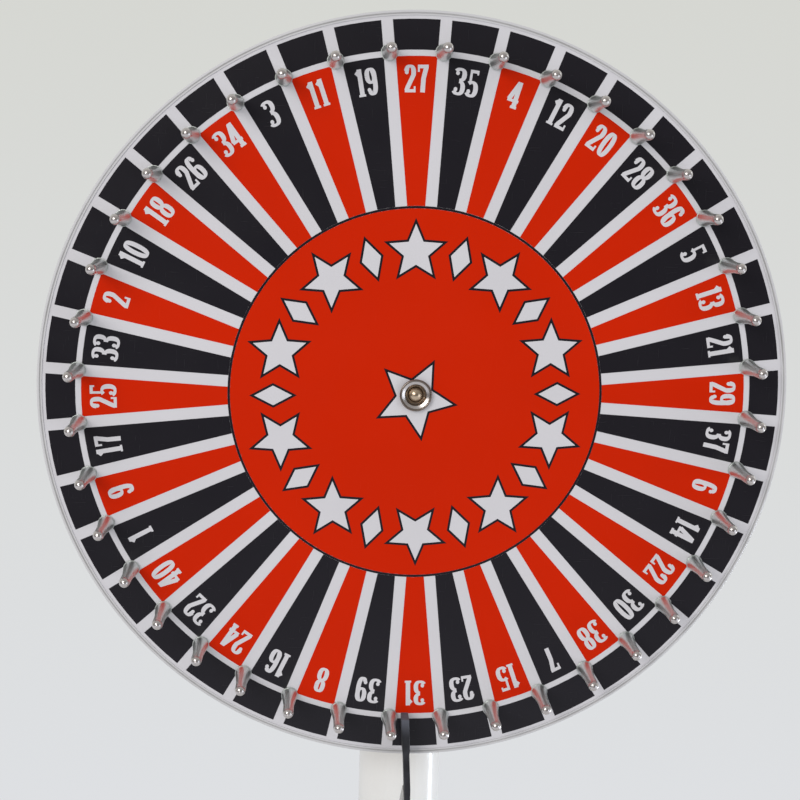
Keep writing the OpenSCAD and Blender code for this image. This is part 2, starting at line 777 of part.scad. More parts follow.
// Plate cut to an L: a foot on the collar's pad and an upright beside the strap
module pointer_arm() color("gray") difference() {
    along_x([arm_left, 0, 0]) linear_extrude(arm_t) polygon([
        for (p = [
            [pad_y, collar_z - collar_h / 2],
            [strap_front_y + arm_corner, collar_z - collar_h / 2],
            [strap_front_y, collar_z - collar_h / 2 + arm_corner],
            [strap_front_y, arm_top - arm_nose],
            [strap_front_y + arm_nose, arm_top],
            [strap_back_y, arm_top],
            [strap_back_y, collar_z + collar_h / 2 + arm_crook],
            [strap_back_y + arm_crook, collar_z + collar_h / 2],
            [pad_y, collar_z + collar_h / 2]
        ]) [-p[1], p[0]]
    ]);
    clamp_holes();
    along_y([0, strap_front_y - cut, 0]) linear_extrude(strap_w + 2 * cut) polygon([
        for (p = [
            [arm_left - cut, arm_top - arm_taper],
            [arm_left, arm_top - arm_taper],
            [strap_left - arm_edge, arm_top],
            [strap_left - arm_edge, arm_top + cut],
            [arm_left - cut, arm_top + cut]
        ]) [p[0], -p[1]]
    ]);
}

module clamp_plate() color("gray") difference() {
    translate([strap_right, strap_front_y, clamp_z[1] - clamp_edge])
        cube([clamp_t, strap_w, clamp_pitch + 2 * clamp_edge]);
    clamp_holes();
}

module clamp_bolts() color("silver") for (z = clamp_z)
    along_x([strap_right + clamp_t, strap_mid_y, z])
        hex_bolt(clamp_bolt_d, clamp_t + strap_t + arm_t + clamp_bolt_d * hex_nut_h + bolt_proud);

module clamp_nuts() color("silver") for (z = clamp_z)
    along_x([arm_left - clamp_bolt_d * hex_nut_h, strap_mid_y, z]) hex_nut(clamp_bolt_d);

// Clamped end of the strap
module flapper_root() color([0.12, 0.12, 0.13]) difference() {
    translate([strap_left, strap_front_y, root_top - strap_root]) cube([strap_t, strap_w, strap_root]);
    clamp_holes();
}

// Free end of the strap: round where it bends, thicker at its worn tip
module flapper_blade() color([0.12, 0.12, 0.13])
    translate([strap_x, strap_back_y, pivot_z]) rotate([90, -strap_lean, 0]) union() {
        cylinder(r = bend_r, h = strap_w);
        linear_extrude(strap_w) polygon([
            [-strap_t / 2, 0],
            [-strap_t / 2, strap_free - tip_len - tip_slope],
            [-tip_t / 2, strap_free - tip_len],
            [-tip_t / 2, strap_free - tip_edge],
            [-tip_t / 2 + tip_edge, strap_free],
            [tip_t / 2 - tip_edge, strap_free],
            [tip_t / 2, strap_free - tip_edge],
            [tip_t / 2, strap_free - tip_len],
            [strap_t / 2, strap_free - tip_len - tip_slope],
            [strap_t / 2, 0]
        ]);
    }

base_plate();
rubber_feet();
foot_screws();
pole_socket();
socket_bolts();
socket_washers();
socket_nuts();
socket_set_screws();
pole();
pole_cap();
axle_sleeve();
axle();
rear_washer();
rear_nut();
rear_spacer();
bearing_inner_races();
bearing_balls();
bearing_outer_races();
bearing_spacer();
front_spacer();
hub_washer();
dome_nut();
hub();
hub_screws();
wheel_board();
face_sheet();
edge_trim();
pegs();
peg_screws();
peg_washers();
red_wedges();
black_wedges();
border_blocks();
centre_disc();
centre_outline();
star_outline();
centre_star();
collar_front();
collar_rear();
collar_bolts();
collar_nuts();
pointer_arm();
clamp_plate();
clamp_bolts();
clamp_nuts();
flapper_root();
flapper_blade();
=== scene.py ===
"""Looks of a floor-standing carnival game wheel: finishes, numerals, ornament, strap and studio."""

import json

import bpy
import numpy as np
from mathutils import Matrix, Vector, geometry


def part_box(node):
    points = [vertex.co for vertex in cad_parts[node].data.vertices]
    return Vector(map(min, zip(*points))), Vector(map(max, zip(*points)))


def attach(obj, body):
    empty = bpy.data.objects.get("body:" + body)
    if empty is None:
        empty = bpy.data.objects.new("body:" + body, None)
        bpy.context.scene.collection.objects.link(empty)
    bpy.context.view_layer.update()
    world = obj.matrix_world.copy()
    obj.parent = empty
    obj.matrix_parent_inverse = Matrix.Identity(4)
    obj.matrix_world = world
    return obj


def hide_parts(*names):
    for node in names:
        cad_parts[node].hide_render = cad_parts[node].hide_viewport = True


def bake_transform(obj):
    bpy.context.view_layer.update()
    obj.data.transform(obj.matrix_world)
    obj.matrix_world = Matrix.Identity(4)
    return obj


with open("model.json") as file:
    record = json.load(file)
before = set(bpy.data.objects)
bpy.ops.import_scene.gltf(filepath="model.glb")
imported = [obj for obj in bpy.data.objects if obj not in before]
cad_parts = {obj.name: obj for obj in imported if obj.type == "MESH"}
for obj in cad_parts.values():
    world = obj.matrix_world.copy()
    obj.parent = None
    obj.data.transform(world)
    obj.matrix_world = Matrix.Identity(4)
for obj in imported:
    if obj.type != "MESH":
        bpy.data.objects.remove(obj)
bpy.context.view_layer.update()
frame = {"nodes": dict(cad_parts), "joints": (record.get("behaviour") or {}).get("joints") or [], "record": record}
MM = 0.001
X_AXIS, Y_AXIS = 0, 1

# Places taken from the frame, in metres
JOINTS = {joint["name"]: joint for joint in frame["joints"]}
HUB = np.array(JOINTS["wheel_spin"]["pos_m"])
STRAP_BEND = np.array(JOINTS["flapper_flick"]["pos_m"])
FILM_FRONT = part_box("red_wedges")[0].y
PEG_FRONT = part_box("pegs")[0].y
POLE_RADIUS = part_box("pole")[1].x
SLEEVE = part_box("axle_sleeve")
SLEEVE_RADIUS = (SLEEVE[1].x - SLEEVE[0].x) / 2

# The wheel's print, in metres and degrees
REST_ANGLE = 1.41
PRINT_THICKNESS = 0.08 * MM
WEDGE_COUNT = 40
# Numbers stand in runs of five, and the first run starts this many wedges clockwise from the top
RUN_LENGTH = 5
ONE_WEDGE = 27
NUMERAL_TOP = 327.3 * MM
NUMERAL_HEIGHT = 26.7 * MM
NUMERAL_SQUEEZE = 0.9

# Numerals in a box one unit high: widths, pen, and the bowls, hooks and balls that several of them share
NUMERAL_WIDTH = 0.47
ONE_WIDTH = 0.33
NUMERAL_GAP = 0.065
PEN_THICK = 0.19
PEN_THIN = 0.105
PEN_SQUARE = 0.86
ARC_STEPS = 40
LINE_STEPS = 12
BOWL_MIDDLE = NUMERAL_WIDTH / 2
BOWL_WIDE = 0.147
BOWL_TALL = 0.447
HOOK_MIDDLE = 0.2
HOOK_WIDE = 0.182
BALL_RADIUS = 0.078
BALL_SIDES = 24

# Cutting of crossed outlines: only triangles inside them are made, and points closer than this are one
INSIDE_ONLY = 1
SAME_POINT = 1e-6

# Ornament round the centre disc
ORNAMENT_COUNT = 10
ORNAMENT_RADIUS = 144.0 * MM
STAR_RADIUS = 28.0 * MM
STAR_NOTCH = 0.45
LOZENGE_SIZE = (10.0 * MM, 19.0 * MM)
ORNAMENT_LINE = 2.3 * MM

# Strap, in metres and degrees, and the rows of its mesh
STRAP_FREE = 76.0 * MM
STRAP_THICK = 6.4 * MM
STRAP_LEAN = 3.1
STRAP_ROUND = 1.2 * MM
STRAP_TOP = STRAP_BEND[2] + STRAP_FREE
TIP_THICK = 8.0 * MM
TIP_LENGTH = 34.0 * MM
TIP_SLOPE = 4.0 * MM
TIP_WEAR = 22.0 * MM
CORNER_STEPS = 8
END_ROWS = 8
ROOT_ROWS = 30
FREE_ROWS = 80

# Weld bead
WELD_RADIUS = 2.6 * MM
WELD_RIPPLE = 0.35 * MM
WELD_RIPPLES = 92
WELD_STEPS = 3 * WELD_RIPPLES
WELD_SIDES = 14

# Bolts with their radius and pitch, and where they sit
AXLE_PITCH = 2.5 * MM
COLLAR_BOLT = (4.0 * MM, 1.25 * MM)
CLAMP_BOLT = (2.5 * MM, 0.8 * MM)
EAR_WIDTH = 24.0 * MM
CLAMP_SPACING = 16.0 * MM

# Threads: clear of the plain bolt and past its end, then depth and run-out as shares of the pitch
THREAD_CLEAR = 0.03 * MM
THREAD_PROUD = 0.3 * MM
THREAD_DEPTH = 0.18
THREAD_RUN_OUT = 0.6
THREAD_SIDES = 40
THREAD_ROWS = 8

# Painted shade along the groove of the edge trim's front lip
GROOVE_RADIUS = 376.9 * MM
SHADE_REACH = 1.5 * MM
SHADE_CORE = 0.1 * MM

# Plies of the board with the share that is glue, and contour lines of its veneer's figure
PLY_THICK = 1.35 * MM
GLUE_SHARE = 0.16
FIGURE_LINES = 14.0

# Painted light on the nut, as distances from the wheel's axis: reflection on the dome, shade at its rim
STAIN_EDGE = 0.5 * MM
DOME_REACH = 10.6 * MM
NUT_SHOULDER = 14.2 * MM
NUT_REACH = 17.0 * MM

# Tips of the pegs that the strap has polished, to a share of the roughness elsewhere
PEG_TIP = 6.0 * MM
POLISH_FADE = 3.0 * MM
POLISH_SHARE = 0.62

# Colours as screen values
DUST = (150, 143, 132)
PALE_WOOD = (212, 180, 138)
DARK_WOOD = (182, 142, 98)
GLUE = (140, 98, 62)
# Painted brown reflection on the hub's dome nut, and painted shade at the nut's rim
PAINTED_DOME_REFLECTION = (206, 186, 162)
PAINTED_RIM_SHADE = (138, 128, 121)
BARE_NICKEL = (208, 202, 201)
FLOOR_COLOUR = (226, 227, 228)
BACKDROP_TOP = (214, 215, 210)
BACKDROP_FOOT = (222, 224, 227)
# The room on the camera's side as gloss sees it: rise of the ray and colour, from the floor to the ceiling
ROOM_FRONT = (
    (-1.0, (200, 200, 200)),
    (-0.4, (232, 234, 240)),
    (-0.3, (158, 157, 159)),
    (-0.15, (82, 80, 80)),
    (0.03, (86, 83, 80)),
    (0.14, (132, 130, 126)),
    (0.8, (176, 174, 172)),
)

# Camera of the photograph, in metres, degrees and millimetres
CAMERA_PLACE = (-0.0901, -1.6361, 1.5132)
CAMERA_TURN = (81.817, -1.503, -2.585)
CAMERA_LENS = 68.36

# Stage: strength of the sky, the rise of a ray from the backdrop's foot to its top, and the turn of a ray
# from the backdrop to the room in front
SKY_LIGHT = 0.76
BACKDROP_RISE = (-0.39, 0.12)
ROOM_TURN = (0.2, -0.3)
FLOOR_RADIUS = 1.6
FLOOR_FADE = 0.5 * FLOOR_RADIUS
FLOOR_SIDES = 96

# Lamps: name, place, target, size, power in watts, colour, and the angle that holds the light
WARM = (1.0, 0.985, 0.955)
COOL = (0.84, 0.91, 1.0)
LAMPS = (
    ("key", (-2.6, -4.6, 3.1), HUB, (2.4, 2.4), 112.0, WARM, 180.0),
    ("fill", (2.8, -2.2, 0.7), HUB, (1.3, 1.7), 15.0, COOL, 180.0),
    ("rim", (2.7, 0.3, 2.5), HUB, (0.5, 0.9), 4.0, COOL, 180.0),
    ("strip", (1.48, 0.18, 0.36), (0, 0, 0.9), (0.3, 0.55), 0.52, COOL, 50.0),
)


# Meshes


def grid_faces(rows, columns, close_rows=False, close_columns=False):
    """Quads between neighbouring points of a grid numbered row by row. A closed direction joins up."""
    down, across = np.arange(rows - (not close_rows)), np.arange(columns - (not close_columns))
    r, c = np.meshgrid(down, across, indexing="ij")
    r2, c2 = (r + 1) % rows, (c + 1) % columns
    corners = [r * columns + c, r * columns + c2, r2 * columns + c2, r2 * columns + c]
    return np.stack(corners, -1).reshape(-1, 4)


def new_piece(name, points, faces, body, slot, smooth=True):
    """A mesh object at the origin from an array of points and lists of faces, in the finish of its slot.
    It rides on a body, if one is named."""
    mesh = bpy.data.meshes.new(name)
    mesh.from_pydata(np.asarray(points).tolist(), [], [list(map(int, face)) for face in faces])
    mesh.polygons.foreach_set("use_smooth", np.full(len(mesh.polygons), smooth))
    mesh.update()
    mesh.materials.append(FINISHES[slot])
    piece = bpy.data.objects.new(name, mesh)
    bpy.context.scene.collection.objects.link(piece)
    if body:
        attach(piece, body)
    return piece


def thicken(flat, triangles, back, front):
    """A closed flat solid: the triangles at the front depth, the same turned round at the back depth,
    and a quad wall on every edge that belongs to one triangle only."""
    triangles = np.asarray(triangles)
    n = len(flat)
    edges = np.concatenate([triangles[:, [0, 1]], triangles[:, [1, 2]], triangles[:, [2, 0]]])
    _, inverse, count = np.unique(np.sort(edges, 1), axis=0, return_inverse=True, return_counts=True)
    rim = edges[count[inverse.ravel()] == 1]
    points = np.concatenate([
        np.column_stack([flat[:, 0], np.full(n, front), flat[:, 1]]),
        np.column_stack([flat[:, 0], np.full(n, back), flat[:, 1]]),
    ])
    walls = np.column_stack([rim[:, 1], rim[:, 0], rim[:, 0] + n, rim[:, 1] + n])
    return points, [*triangles, *(triangles[:, ::-1] + n), *walls]


def join(parts):
    """One array of points and one list of faces from several, with the faces renumbered."""
    starts = np.cumsum([0] + [len(points) for points, _ in parts])
    faces = [np.asarray(face) + start for (_, group), start in zip(parts, starts) for face in group]
    return np.concatenate([points for points, _ in parts]), faces


def merged(outlines):
    """Outlines filled once: they are cut into triangles where they cross, and those inside any of them
    stay."""
    points, faces = join(outlines)
    corners, _, triangles, _, _, sources = geometry.delaunay_2d_cdt(
        [Vector(point) for point in points], [], [face.tolist() for face in faces],
        INSIDE_ONLY, SAME_POINT)
    inside = [triangle for triangle, source in zip(triangles, sources) if source]
    return np.array([tuple(corner) for corner in corners]), np.array(inside)


# Numerals drawn with a broad pen


def pen_arc(middle, reach, start, end, steps=ARC_STEPS):
    """Points on a squared ellipse: sine and cosine of the angle raised to a power below one, with their
    signs, times the reach each way."""
    a = np.radians(np.linspace(start, end, steps))
    turn = np.column_stack([np.cos(a), np.sin(a)])
    return middle + np.array(reach) * np.sign(turn) * np.abs(turn) ** PEN_SQUARE


def pen_line(*corners):
    """Points spread evenly along straight runs between corners."""
    corners = np.array(corners, float)
    runs = len(corners) - 1
    t = np.linspace(0, runs, LINE_STEPS * runs + 1)
    i = np.arange(runs + 1)
    return np.column_stack([np.interp(t, i, corners[:, 0]), np.interp(t, i, corners[:, 1])])


def pen_stroke(path):
    """Quads of a stroke: at each point the half width is the radius of the pen's ellipse across the path,
    so upright strokes are thick and level ones thin."""
    tangent = np.gradient(path, axis=0)
    tangent /= np.linalg.norm(tangent, axis=1)[:, None]
    normal = np.column_stack([-tangent[:, 1], tangent[:, 0]])
    half = 0.5 * np.hypot(PEN_THICK * normal[:, 0], PEN_THIN * normal[:, 1])[:, None]
    points = np.stack([path + normal * half, path - normal * half], 1).reshape(-1, 2)
    return points, grid_faces(len(path), 2)


def slab(x0, x1, y0, y1):
    """A rectangle, for serifs and feet."""
    return np.array([[x0, y0], [x1, y0], [x1, y1], [x0, y1]]), np.array([[0, 1, 2, 3]])


def ball(x, y):
    """A regular polygon that stands for a round terminal."""
    a = np.linspace(0, 2 * np.pi, BALL_SIDES, endpoint=False)
    points = np.column_stack([x + BALL_RADIUS * np.cos(a), y + BALL_RADIUS * np.sin(a)])
    return points, np.array([np.arange(BALL_SIDES)])


def numeral_two():
    """A hook that falls to the left foot, on a level foot with a raised toe."""
    hook = pen_arc((BOWL_MIDDLE, 0.73), (BOWL_WIDE, 0.217), 172, -28)
    return [
        pen_stroke(np.vstack([hook, [[0.13, 0.17], [0.09, 0.06]]])),
        slab(0.02, 0.46, 0.0, 0.115),
        slab(0.385, 0.46, 0.0, 0.22),
        ball(0.1, 0.73),
    ]


def numeral_six():
    """A tall open curve, a closed bowl and a ball at the upper end."""
    return [
        pen_stroke(pen_arc((BOWL_MIDDLE, 0.5), (BOWL_WIDE, BOWL_TALL), 48, 262)),
        pen_stroke(pen_arc((BOWL_MIDDLE, 0.29), (BOWL_WIDE, 0.237), 0, 360)),
        ball(0.365, 0.795),
    ]


def numeral_strokes():
    """The strokes of every numeral in a box one unit high, with ball ends and slab feet. The nine is the
    six turned upside down."""
    six = numeral_six()
    return {
        0: [pen_stroke(pen_arc((BOWL_MIDDLE, 0.5), (BOWL_WIDE, BOWL_TALL), 0, 360, steps=64))],
        1: [
            pen_stroke(pen_line((0.19, 0.0), (0.19, 1.0))),
            pen_stroke(pen_line((0.18, 0.93), (0.04, 0.8))),
            slab(0.05, 0.33, 0.0, 0.08),
        ],
        2: numeral_two(),
        3: [
            pen_stroke(pen_arc((HOOK_MIDDLE, 0.75), (HOOK_WIDE, 0.197), 150, -90)),
            pen_stroke(pen_arc((HOOK_MIDDLE, 0.275), (HOOK_WIDE, 0.222), 90, -150)),
            ball(0.1, 0.8),
            ball(0.1, 0.205),
        ],
        4: [
            pen_stroke(pen_line((0.31, 0.96), (0.055, 0.3))),
            pen_stroke(pen_line((0.335, 0.0), (0.335, 1.0))),
            slab(0.0, 0.47, 0.23, 0.335),
            slab(0.2, 0.46, 0.0, 0.1),
        ],
        5: [
            slab(0.075, 0.43, 0.885, 1.0),
            slab(0.075, 0.175, 0.47, 0.95),
            slab(0.36, 0.43, 0.83, 1.0),
            pen_stroke(pen_arc((HOOK_MIDDLE, 0.3), (HOOK_WIDE, 0.247), 132, -150)),
            ball(0.1, 0.205),
        ],
        6: six,
        7: [
            slab(0.02, 0.46, 0.87, 1.0),
            slab(0.02, 0.1, 0.74, 1.0),
            pen_stroke(pen_line((0.37, 0.92), (0.25, 0.5), (0.21, 0.0))),
        ],
        8: [
            pen_stroke(pen_arc((BOWL_MIDDLE, 0.745), (0.13, 0.202), 0, 360, steps=48)),
            pen_stroke(pen_arc((BOWL_MIDDLE, 0.275), (BOWL_WIDE, 0.222), 0, 360, steps=48)),
        ],
        9: [(np.array([NUMERAL_WIDTH, 1.0]) - points, faces) for points, faces in six],
    }


def wheel_point(radius, across, angle):
    """Places on the wheel's face of points given along and across a spoke. The spoke's angle is measured
    clockwise from the top."""
    a = np.radians(90 + REST_ANGLE - angle)
    x = HUB[0] + radius * np.cos(a) + across * np.sin(a)
    z = HUB[2] + radius * np.sin(a) - across * np.cos(a)
    return np.column_stack([x, z])


def wedge_number(k):
    """Numbers stand in runs of five that step by eight, and each run starts one higher."""
    i = (k - ONE_WEDGE) % WEDGE_COUNT
    return 1 + i // RUN_LENGTH + (WEDGE_COUNT // RUN_LENGTH) * (i % RUN_LENGTH)


def add_numerals():
    """Each wedge's number, one numeral beside the other, with its feet towards the hub."""
    shapes = {digit: merged(strokes) for digit, strokes in numeral_strokes().items()}
    parts = []
    for k in range(WEDGE_COUNT):
        digits = [int(digit) for digit in str(wedge_number(k))]
        widths = [ONE_WIDTH if digit == 1 else NUMERAL_WIDTH for digit in digits]
        left = -(sum(widths) + NUMERAL_GAP * (len(digits) - 1)) / 2
        for digit, width in zip(digits, widths):
            flat, triangles = shapes[digit]
            across = (flat[:, 0] + left) * NUMERAL_SQUEEZE * NUMERAL_HEIGHT
            radius = NUMERAL_TOP - (1 - flat[:, 1]) * NUMERAL_HEIGHT
            placed = wheel_point(radius, across, 360 / WEDGE_COUNT * k)
            parts.append(thicken(placed, triangles, FILM_FRONT, FILM_FRONT - PRINT_THICKNESS))
            left += width + NUMERAL_GAP
    new_piece("wheel_numerals", *join(parts), "wheel", "white_film", smooth=False)


# Ornament


def star_outline(radius):
    """Ten corners of a five-point star, in turn on the point circle and on the notch circle."""
    i = np.arange(10)
    r = np.where(i % 2 == 0, radius, radius * STAR_NOTCH)
    return np.column_stack([-r * np.sin(np.pi / 5 * i), r * np.cos(np.pi / 5 * i)])


def lozenge_outline(half_width, half_height):
    """Four corners of a lozenge with its long way on the spoke."""
    return np.array([[0, half_height], [-half_width, 0], [0, -half_height], [half_width, 0]])


def grown(outline, line):
    """The outline moved outwards by a line's width: each side is shifted square to itself,
    and each corner is where its two shifted sides cross."""
    d0, d1 = outline - np.roll(outline, 1, 0), np.roll(outline, -1, 0) - outline
    n0 = np.column_stack([d0[:, 1], -d0[:, 0]]) / np.linalg.norm(d0, axis=1)[:, None]
    n1 = np.column_stack([d1[:, 1], -d1[:, 0]]) / np.linalg.norm(d1, axis=1)[:, None]
    middle = n0 + n1
    return outline + line * middle * 2 / np.sum(middle * middle, 1)[:, None]


def add_ornament():
    """Stars and lozenges in turn round the centre disc, white over a dark line of even width."""
    dark, white = [], []
    for k in range(2 * ORNAMENT_COUNT):
        shape = star_outline(STAR_RADIUS) if k % 2 == 0 else lozenge_outline(*LOZENGE_SIZE)
        lined = grown(shape, ORNAMENT_LINE)
        for outline, parts, lift in ((lined, dark, 0), (shape, white, PRINT_THICKNESS)):
            flat, triangles = merged([(outline, np.array([np.arange(len(outline))]))])
            placed = wheel_point(ORNAMENT_RADIUS + flat[:, 1], flat[:, 0], 180 / ORNAMENT_COUNT * k)
            back = FILM_FRONT - lift
            parts.append(thicken(placed, triangles, back, back - PRINT_THICKNESS))
    new_piece("ornament_lines", *join(dark), "wheel", "black_film", smooth=False)
    new_piece("ornament_figures", *join(white), "wheel", "white_film", smooth=False)


# Strap, welds and threads


def smooth_step(t):
    """Nought below nought, one above one, and an even S between."""
    t = np.clip(t, 0, 1)
    return t * t * (3 - 2 * t)


def rounded_section(corner):
    """Directions and offsets of a rounded rectangle: corner signs, and a quarter circle at each corner."""
    quarter = np.linspace(0, np.pi / 2, CORNER_STEPS)
    turn = np.concatenate([quarter + q * np.pi / 2 for q in range(4)])
    side_x = np.repeat([1, -1, -1, 1], CORNER_STEPS)
    side_y = np.repeat([1, 1, -1, -1], CORNER_STEPS)
    return side_x, side_y, corner * np.cos(turn), corner * np.sin(turn)


def add_strap():
    """A rounded rectangle carried up the strap: its half thickness grows smoothly to the worn tip, the path
    is upright to the bend and leans from there, and both ends draw in on a quarter round."""
    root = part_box("flapper_root")
    low = root[0].z - STRAP_BEND[2]
    ends = STRAP_ROUND * (1 - np.cos(np.linspace(0, np.pi / 2, END_ROWS)))
    along = np.concatenate([
        low + ends,
        np.linspace(low, 0, ROOT_ROWS)[2:-1],
        np.linspace(0, STRAP_FREE, FREE_ROWS)[:-2],
        STRAP_FREE - ends[::-1],
    ])
    swell = smooth_step((along - STRAP_FREE + TIP_LENGTH + TIP_SLOPE) / TIP_SLOPE)
    half = (STRAP_THICK + (TIP_THICK - STRAP_THICK) * swell) / 2
    half_depth = (root[1].y - root[0].y) / 2
    lean = np.tan(np.radians(STRAP_LEAN)) * np.maximum(along, 0)
    near = np.clip(1 - np.minimum(along - low, STRAP_FREE - along) / STRAP_ROUND, 0, 1)
    keep = np.sqrt(1 - near ** 2)[:, None]
    side_x, side_y, corner_x, corner_y = rounded_section(STRAP_ROUND)
    x = STRAP_BEND[0] - lean[:, None] + side_x * (half - STRAP_ROUND)[:, None] + corner_x * keep
    y = STRAP_BEND[1] + side_y * (half_depth - STRAP_ROUND) + corner_y * keep
    z = np.broadcast_to(STRAP_BEND[2] + along[:, None], x.shape)
    rows, columns = x.shape
    faces = [*grid_faces(rows, columns, close_columns=True)]
    faces += [np.arange(columns)[::-1], (rows - 1) * columns + np.arange(columns)]
    points = np.stack([x, y, z], -1).reshape(-1, 3)
    strap = new_piece("pointer_strap", points, faces, None, "strap_rubber")
    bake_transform(strap)
    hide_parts("flapper_root", "flapper_blade")


def add_welds():
    """A rippled bead along the saddle where the axle's sleeve crosses the pole: a circle carried round the
    sleeve, its centre on the pole's surface, its radius rising and falling with the angle."""
    a = np.linspace(0, 2 * np.pi, WELD_STEPS, endpoint=False)[:, None]
    b = np.linspace(0, 2 * np.pi, WELD_SIDES, endpoint=False)[None, :]
    bead = WELD_RADIUS + WELD_RIPPLE * np.abs(np.sin(WELD_RIPPLES / 2 * a))
    parts = []
    for side in (-1, 1):
        out = SLEEVE_RADIUS + bead * np.cos(b) * side
        x, z = out * np.cos(a), HUB[2] + out * np.sin(a)
        depth = np.sqrt(POLE_RADIUS ** 2 - (SLEEVE_RADIUS * np.cos(a)) ** 2) + bead * np.sin(b)
        points = np.stack([x, side * depth, z], -1).reshape(-1, 3)
        parts.append((points, grid_faces(WELD_STEPS, WELD_SIDES, close_rows=True, close_columns=True)))
    new_piece("sleeve_welds", *join(parts), "stand", "white_coat")


def thread(middle, axis, radius, pitch, start, end):
    """A screw thread: on a grid of angle and length the radius is a triangle wave of length plus angle, so
    its crests climb one pitch a turn. The wave runs out just past the bolt's end, and the thread closes
    there."""
    end = end + np.copysign(THREAD_PROUD, end - start)
    length = abs(end - start)
    rows = max(2, round(length / pitch * THREAD_ROWS))
    a = np.linspace(0, 2 * np.pi, THREAD_SIDES, endpoint=False)[None, :]
    t = np.linspace(0, 1, rows)[:, None]
    along = start + (end - start) * t
    wave = np.abs((along / pitch + a / (2 * np.pi)) % 1 - 0.5) * 2
    fade = np.clip((1 - t) * length / (THREAD_RUN_OUT * pitch), 0, 1)
    r = radius + THREAD_CLEAR + THREAD_DEPTH * pitch * wave * fade
    lengthwise = np.eye(3)[axis]
    u, v = np.roll(np.eye(3), -axis, 0)[1:]
    ring = np.cos(a)[..., None] * u + np.sin(a)[..., None] * v
    points = np.asarray(middle) + r[..., None] * ring
    points = points * (1 - lengthwise) + along[..., None] * lengthwise
    faces = [*grid_faces(rows, THREAD_SIDES, close_columns=True)]
    faces.append((rows - 1) * THREAD_SIDES + np.arange(THREAD_SIDES))
    return points.reshape(-1, 3), faces if end > start else [face[::-1] for face in faces]


def add_threads():
    """Threads on the bolt ends that stand out of their nuts."""
    axle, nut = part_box("axle"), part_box("rear_nut")
    axle_end = thread(HUB, Y_AXIS, axle[1].x, AXLE_PITCH, nut[1].y, axle[1].y)
    collar, nuts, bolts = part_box("collar_front"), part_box("collar_nuts"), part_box("collar_bolts")
    middle, quarter = (collar[0].z + collar[1].z) / 2, (collar[1].z - collar[0].z) / 4
    reach = collar[1].x - EAR_WIDTH / 2
    ends = [thread((x, 0, z), Y_AXIS, *COLLAR_BOLT, nuts[1].y, bolts[1].y)
            for x in (-reach, reach) for z in (middle - quarter, middle + quarter)]
    nuts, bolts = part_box("clamp_nuts"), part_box("clamp_bolts")
    middle = (nuts[0].z + nuts[1].z) / 2
    ends += [thread((0, STRAP_BEND[1], z), X_AXIS, *CLAMP_BOLT, nuts[0].x, bolts[0].x)
             for z in (middle - CLAMP_SPACING / 2, middle + CLAMP_SPACING / 2)]
    new_piece("axle_thread", *axle_end, "stand", "turned_steel")
    new_piece("bolt_threads", *join(ends), "stand", "zinc_steel")


# Nodes


def screen(red, green, blue):
    """Linear colour of screen values from 0 to 255."""
    c = np.array([red, green, blue]) / 255
    linear = np.where(c <= 0.04045, c / 12.92, ((c + 0.055) / 1.055) ** 2.4)
    return (*map(float, linear), 1.0)


def shaded(colour, share):
    """The same colour, lighter or darker."""
    return (*[c * share for c in colour[:3]], 1.0)


def add_node(tree, kind, inputs=None, **settings):
    """A node with its settings, and its inputs set to values or linked to sockets."""
    node = tree.nodes.new(kind)
    for key, value in settings.items():
        setattr(node, key, value)
    for key, value in (inputs or {}).items():
        if isinstance(value, bpy.types.NodeSocket):
            tree.links.new(value, node.inputs[key])
        else:
            node.inputs[key].default_value = value
    return node


def compute(tree, operation, a, b=0.0, c=0.0):
    """The result of a sum on up to three values."""
    return add_node(tree, "ShaderNodeMath", {0: a, 1: b, 2: c}, operation=operation).outputs[0]


def spread(tree, value, start, end, low=0.0, high=1.0, **settings):
    """A number that goes from low to high while a value goes from start to end."""
    return add_node(tree, "ShaderNodeMapRange", {
        "Value": value, "From Min": start, "From Max": end, "To Min": low, "To Max": high},
        **settings).outputs[0]


def cloud(tree, place, scale, detail, roughness=0.5):
    """Cloudy noise at a place."""
    return add_node(tree, "ShaderNodeTexNoise", {
        "Vector": place, "Scale": scale, "Detail": detail, "Roughness": roughness}).outputs[0]


def stretched(tree, place, scale, turn=(0, 0, 0), move=(0, 0, 0)):
    """A place turned, stretched and moved, so that noise there is drawn out."""
    return add_node(tree, "ShaderNodeMapping", {
        "Vector": place, "Location": move, "Rotation": turn, "Scale": scale}).outputs[0]


def blend_colour(tree, mask, low, high):
    """Colour that goes from one to the other with a mask. A mix node's colours are its inputs 6 and 7, and
    its output 2."""
    return add_node(tree, "ShaderNodeMix", {0: mask, 6: low, 7: high}, data_type="RGBA").outputs[2]


def place_of(tree):
    """Object coordinates, split into their three parts."""
    place = add_node(tree, "ShaderNodeTexCoord").outputs["Object"]
    return place, add_node(tree, "ShaderNodeSeparateXYZ", {0: place}).outputs


def axis_distance(tree):
    """Distance from the wheel's axis: the root of the squares across it."""
    _, (x, _, z) = place_of(tree)
    rise = compute(tree, "SUBTRACT", z, float(HUB[2]))
    squares = compute(tree, "MULTIPLY_ADD", x, x, compute(tree, "MULTIPLY", rise, rise))
    return compute(tree, "SQRT", squares)


def ring_mask(tree, inner, outer):
    """One between two distances from the wheel's axis, falling to nought over a soft edge on both sides."""
    away = axis_distance(tree)
    rise = spread(tree, away, inner - STAIN_EDGE, inner)
    fall = spread(tree, away, outer + STAIN_EDGE, outer)
    return compute(tree, "MULTIPLY", rise, fall)


# Effects that finishes share


def new_group(name, inputs, output):
    """An empty shader group with number sockets; returns it with its input and output nodes."""
    group = bpy.data.node_groups.new(name, "ShaderNodeTree")
    for key, value in inputs.items():
        socket = group.interface.new_socket(key, in_out="INPUT", socket_type="NodeSocketFloat")
        socket.default_value = value
    group.interface.new_socket(output, in_out="OUTPUT", socket_type="NodeSocketFloat")
    return group, group.nodes.new("NodeGroupInput"), group.nodes.new("NodeGroupOutput")


